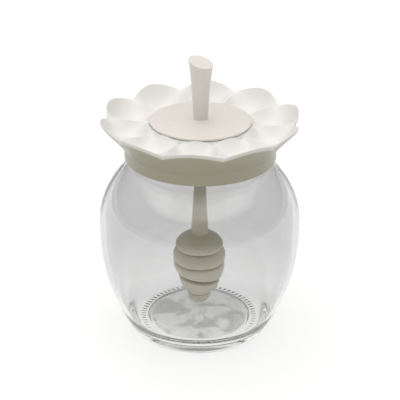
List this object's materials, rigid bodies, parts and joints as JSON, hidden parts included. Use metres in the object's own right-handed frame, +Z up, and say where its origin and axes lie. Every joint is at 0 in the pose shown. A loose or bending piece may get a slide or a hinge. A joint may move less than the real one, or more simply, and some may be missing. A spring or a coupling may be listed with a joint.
{
  "type": "honey pot",
  "caption": "Round clear glass honey pot with a flower-shaped plastic lid of spoon-like petals and a ringed dipper whose disc rests on the lid, its stem above and its head in the jar.",
  "frame": {"origin": "centre of the jar's foot, on the surface it stands on", "axes": "+Z up along the jar's axis, -Y towards the viewer of the picture, +X to the viewer's right"},
  "size_m": [0.105, 0.105, 0.1502],
  "materials": {
    "clear_glass": "clear smooth glass with a stippled foot ring",
    "cream_plastic": "smooth creamy white moulded plastic, softly glossy",
    "warm_plastic": "smooth creamy white moulded plastic, slightly warmer than the lid"
  },
  "bodies": {
    "root": {"glass_jar": "clear_glass", "lid": "cream_plastic", "dipper": "warm_plastic"}
  },
  "joints": []
}
